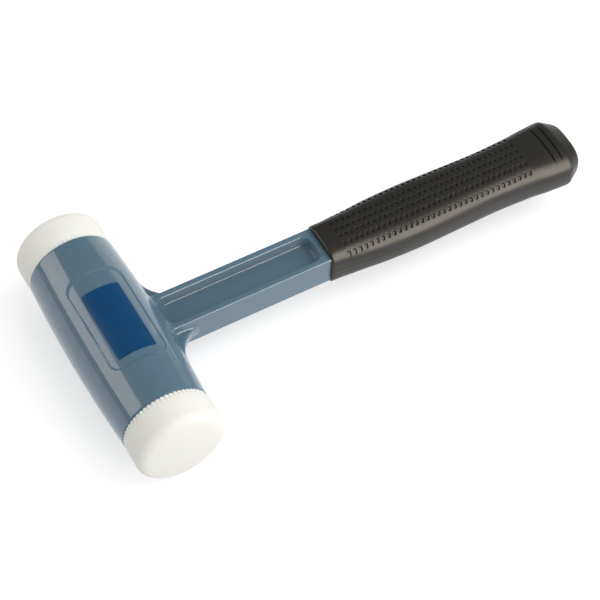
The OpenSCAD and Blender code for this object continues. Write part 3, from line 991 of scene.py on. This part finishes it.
# %% Joining the sheet to its dimples
all_points, all_faces, offset = [sheet_points], list(sheet_faces), len(sheet_points)
for turn in (0, 1):
    v = pad_points[:, 1] + turn * WHOLE_V / 2
    all_points.append(wrap(pad_points[:, 0], v, pad_points[:, 2]))
    all_faces += [[i + offset for i in f] for f in pad_faces]
    offset += len(pad_points)
grip_mesh = mesh_of("grip", [AXIS + Vector(p) for p in np.concatenate(all_points)], all_faces)
sew = bmesh.new()
sew.from_mesh(grip_mesh)
bmesh.ops.remove_doubles(sew, verts=sew.verts, dist=2 * HAIR * MM)
loose = [v for v in sew.verts if not v.link_faces]
bmesh.ops.delete(sew, geom=loose, context="VERTS")
bmesh.ops.recalc_face_normals(sew, faces=sew.faces)
open_edges = sum(not e.is_manifold for e in sew.edges)
sew.to_mesh(grip_mesh)
sew.free()
print("grip: open edges", open_edges)
grip = add_object("grip_skin", grip_mesh)
shank = soft_box(SHANK_HALF_W, SHANK_HALF_H, SHANK_EDGE)
combine(grip, bar("shank_hole", shank, "X", GRIP_X0 - PROUD, SHANK_X1), "DIFFERENCE")
combine(grip, bar("tang_hole", tang, "X", SHANK_X1 - PROUD, TANG_X1), "DIFFERENCE")
finish_piece(grip, "hammer", "grip_rubber", "grip_sleeve", edge_angle=60, material=RUBBER)

# %% [markdown]
# ## The label
# On the real tool a printed film fills most of the sunk panel. Ours is left blank, with round
# corners, and follows the belly of the head a hair above the paint.

# %% A curved film
FILM_T, FILM_LIFT, FILM_CORNER = 0.18, 0.02, 1.0


def label_points(steps_x, steps_y, lift):
    """A grid of points with rounded corners, laid on the sunk panel at this lift."""
    half_x = (label_high.x - label_low.x) / 2
    half_y = (label_high.y - label_low.y) / 2
    middle_x = (label_high.x + label_low.x) / 2 - AXIS.x
    middle_y = (label_high.y + label_low.y) / 2
    points = []
    for j in range(steps_y + 1):
        for i in range(steps_x + 1):
            x = half_x * (2 * i / steps_x - 1)
            y = half_y * (2 * j / steps_y - 1)
            over_x = abs(x) - (half_x - FILM_CORNER)
            over_y = abs(y) - (half_y - FILM_CORNER)
            if over_x > 0 and over_y > 0:
                reach = max(over_x, over_y) / math.hypot(over_x, over_y)
                x = math.copysign(half_x - FILM_CORNER + over_x * reach, x)
                y = math.copysign(half_y - FILM_CORNER + over_y * reach, y)
            x, y = x + middle_x, y + middle_y
            radius = HEAD_R - BELLY_SAG * (y / HEAD_HALF) ** 2 - PANEL_DEPTH + lift
            points.append(AXIS + Vector((x, y, math.sqrt(radius**2 - x**2))))
    return points


def film_skin(steps_x=40, steps_y=80):
    """Points and faces of the film: its top, its underside and the rim that joins them."""
    top = label_points(steps_x, steps_y, FILM_LIFT + FILM_T)
    under = label_points(steps_x, steps_y, FILM_LIFT)
    row = steps_x + 1
    count = len(top)
    faces = []
    for j in range(steps_y):
        for i in range(steps_x):
            a = j * row + i
            faces.append((a, a + 1, a + row + 1, a + row))
            faces.append((a + count, a + row + count, a + row + 1 + count, a + 1 + count))
    rim = list(range(steps_x)) + [j * row + steps_x for j in range(steps_y)]
    rim += [steps_y * row + i for i in range(steps_x, 0, -1)]
    rim += [j * row for j in range(steps_y, 0, -1)]
    for k, a in enumerate(rim):
        b = rim[(k + 1) % len(rim)]
        faces.append((a, a + count, b + count, b))
    return top + under, faces


label = add_object("label_film_skin", mesh_of("label_film_skin", *film_skin()))
face_outward(label.data)
finish_piece(label, "hammer", "label_film", "blank_label", material=FILM)

# %% [markdown]
# ## Discs and shot
# Two steel discs close the shot chamber, and the shot itself lies loose between them. None of
# it shows at rest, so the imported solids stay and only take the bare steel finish.

# %% Bare steel for the inner pieces
inner = [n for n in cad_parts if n.endswith("retaining_disc") or n.startswith("shot_layer")]
for name in inner:
    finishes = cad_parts[name].data.materials
    finishes.clear()
    finishes.append(STEEL)
print("pieces in bare steel:", len(inner))

# %% [markdown]
# ## Camera, floor and light
# The camera stands where the photographer stood: high over the head, looking down along the
# grip. A long lens keeps the far face nearly as large as the near one.

# %% Camera
camera = add_object("camera", bpy.data.cameras.new("camera"))
camera.location = (-0.33863, -0.51936, 0.85071)
camera.rotation_euler = [math.radians(a) for a in (35.4332, -1.7399, -29.5144)]
camera.data.sensor_width = 36
camera.data.lens = 126.86
bpy.context.scene.camera = camera
print("camera", round((camera.location - AXIS * MM).length, 2), "m from the head")

# %% [markdown]
# Floor and world look white to the camera and in reflections, while the light that they shed
# on the hammer stays at a plain level. Light Path tells the two apart: for rays that come from
# the camera, a mirror or glass the floor glows and the world is white, and for no others.

# %% Floor and world
FLOOR_REACH, FLOOR_GREY, FLOOR_GLOW, WORLD_LEVEL = 3.0, 0.65, 0.55, 0.45


def square(reach, z, right=None):
    """The corners of a level square about the middle, in metres, or of its part left of right."""
    right = reach if right is None else right
    return [(-reach, -reach, z), (right, -reach, z), (right, reach, z), (-reach, reach, z)]


def stage_object(name, corners, faces, material):
    made = add_object(name, bpy.data.meshes.new(name))
    made.data.from_pydata(corners, [], faces)
    made.data.materials.append(material)
    made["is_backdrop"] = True
    return made


def seen_straight(tree):
    """1 for a ray from the camera, a mirror or glass, and 0 for one that gathers light."""
    light_path = tree.nodes.new("ShaderNodeLightPath")
    rays = ("Is Camera Ray", "Is Glossy Ray", "Is Transmission Ray")
    camera_ray, glossy_ray, glass_ray = (Amount(tree, light_path.outputs[ray]) for ray in rays)
    return (camera_ray + glossy_ray + glass_ray).at_most(1.0)


FLOOR, tree, shader = new_material("white_floor", Roughness=0.9, Specular_IOR_Level=0.0)
shader.inputs["Base Color"].default_value = (FLOOR_GREY, FLOOR_GREY, FLOOR_GREY, 1)
shader.inputs["Emission Color"].default_value = (1, 1, 1, 1)
tree.links.new((seen_straight(tree) * FLOOR_GLOW).socket, shader.inputs["Emission Strength"])
stage_object("floor", square(FLOOR_REACH, 0), [(0, 1, 2, 3)], FLOOR)

world = bpy.data.worlds.new("studio")
bpy.context.scene.world = world
world.use_nodes = True
tree = world.node_tree
background = tree.nodes["Background"]
background.inputs["Color"].default_value = (1, 1, 1, 1)
strength = seen_straight(tree) * (1.0 - WORLD_LEVEL) + WORLD_LEVEL
tree.links.new(strength.socket, background.inputs["Strength"])
print("world", WORLD_LEVEL, "on the hammer, 1 in the picture; floor reaches", FLOOR_REACH, "m")

# %% [markdown]
# A gloss finish is only as good as what it mirrors, so the studio has two kinds of lamp. The
# boxes show in reflections alone: each stands at the angle from which the paint or the rubber
# must mirror it, and two of them light a single piece. The fills light matt colour alone. All
# round stands a dim room that only reflections see, or the paint would mirror white all over.

# %% The dim studio
ROOM, ROOM_H, ROOM_GAP, ROOM_GLOW = 2.4, 2.2, 0.03, 0.05
CARD_X, CARD_Z = -0.45, 0.002
DIM, tree, shader = new_material("dim_studio", Roughness=1.0, Specular_IOR_Level=0.0)
shader.inputs["Base Color"].default_value = (0.0, 0.0, 0.0, 1)
shader.inputs["Emission Color"].default_value = (1, 1, 1, 1)
shader.inputs["Emission Strength"].default_value = ROOM_GLOW
corners = square(ROOM, ROOM_GAP) + square(ROOM, ROOM_H) + square(ROOM, CARD_Z, CARD_X)
ceiling, card = (4, 5, 6, 7), (8, 9, 10, 11)
room = stage_object("dim_studio", corners, [*ring_faces(1, 4), ceiling, card], DIM)
for ray in ("camera", "diffuse", "shadow", "transmission"):
    setattr(room, "visible_" + ray, False)
print("dim studio:", 2 * ROOM, "m wide, seen by glossy rays alone")

# %% [markdown]
# A lamp's angles are measured from the head, since that is how a reflection asks for them. Its
# power follows from its brightness and its area, so a larger box at the same brightness lights
# more but never looks whiter.


# %% Lamps
def outward(azimuth, elevation):
    """The direction at these angles in degrees, turning from +Y towards +X."""
    turn, rise = math.radians(azimuth), math.radians(elevation)
    return Vector((math.sin(turn) * math.cos(rise), math.cos(turn) * math.cos(rise), math.sin(rise)))


def soft_box_lamp(name, azimuth, elevation, half_wide, half_high, brightness, distance=1.6):
    """A soft box seen from the head at these angles. A brightness of 1 shows as white."""
    lamp = add_object(name, bpy.data.lights.new(name, "AREA"))
    lamp.data.shape = "RECTANGLE"
    lamp.data.size = 2 * distance * math.tan(math.radians(half_wide))
    lamp.data.size_y = 2 * distance * math.tan(math.radians(half_high))
    lamp.data.energy = brightness * math.pi * lamp.data.size * lamp.data.size_y
    out = outward(azimuth, elevation)
    lamp.location = AXIS * MM + out * distance
    lamp.rotation_euler = out.to_track_quat("Z", "Y").to_euler()
    print(name, round(lamp.data.energy, 1), "W")
    return lamp


WARM = (1.0, 0.9, 0.79)
LIT_ALONE = {"edge_box": casting, "grip_box": grip}
for name, *angles_and_brightness in (
    ("left_box", -54, 24.5, 20, 17.5, 3.6),
    ("right_box", 52, 9, 9, 11, 1.1),
    ("right_strip", 65, 8, 5, 5, 0.7),
    ("edge_box", 156, 24, 9, 22, 11.0),
    ("grip_box", 153, 27, 25, 27, 9.0, 1.5),
):
    lamp = soft_box_lamp(name, *angles_and_brightness)
    lamp.data.color = WARM
    lamp.visible_diffuse = False
    if name in LIT_ALONE:
        receivers = bpy.data.collections.new(name + "_lights")
        receivers.objects.link(LIT_ALONE[name])
        lamp.light_linking.receiver_collection = receivers
for name, *angles_and_brightness in (
    ("left_fill", -54, 22, 20, 15, 1.7),
    ("right_fill", 90, 34, 18, 16, 2.2),
    ("front_fill", 168, 14, 14, 9, 7.0),
    ("top_fill", 120, 55, 25, 25, 1.45),
):
    soft_box_lamp(name, *angles_and_brightness).visible_glossy = False
bpy.context.scene.view_settings.view_transform = "Standard"

# %% [markdown]
# Last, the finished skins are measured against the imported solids. Low corners above zero and
# high corners below it mean that the skins stay inside.

# %% Sizes and finish
visual_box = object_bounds()
for corner, skin, solid in zip(("low", "high"), visual_box, cad_box):
    print(corner, "corner moves by", [round((a - b) / MM, 3) for a, b in zip(skin, solid)], "mm")
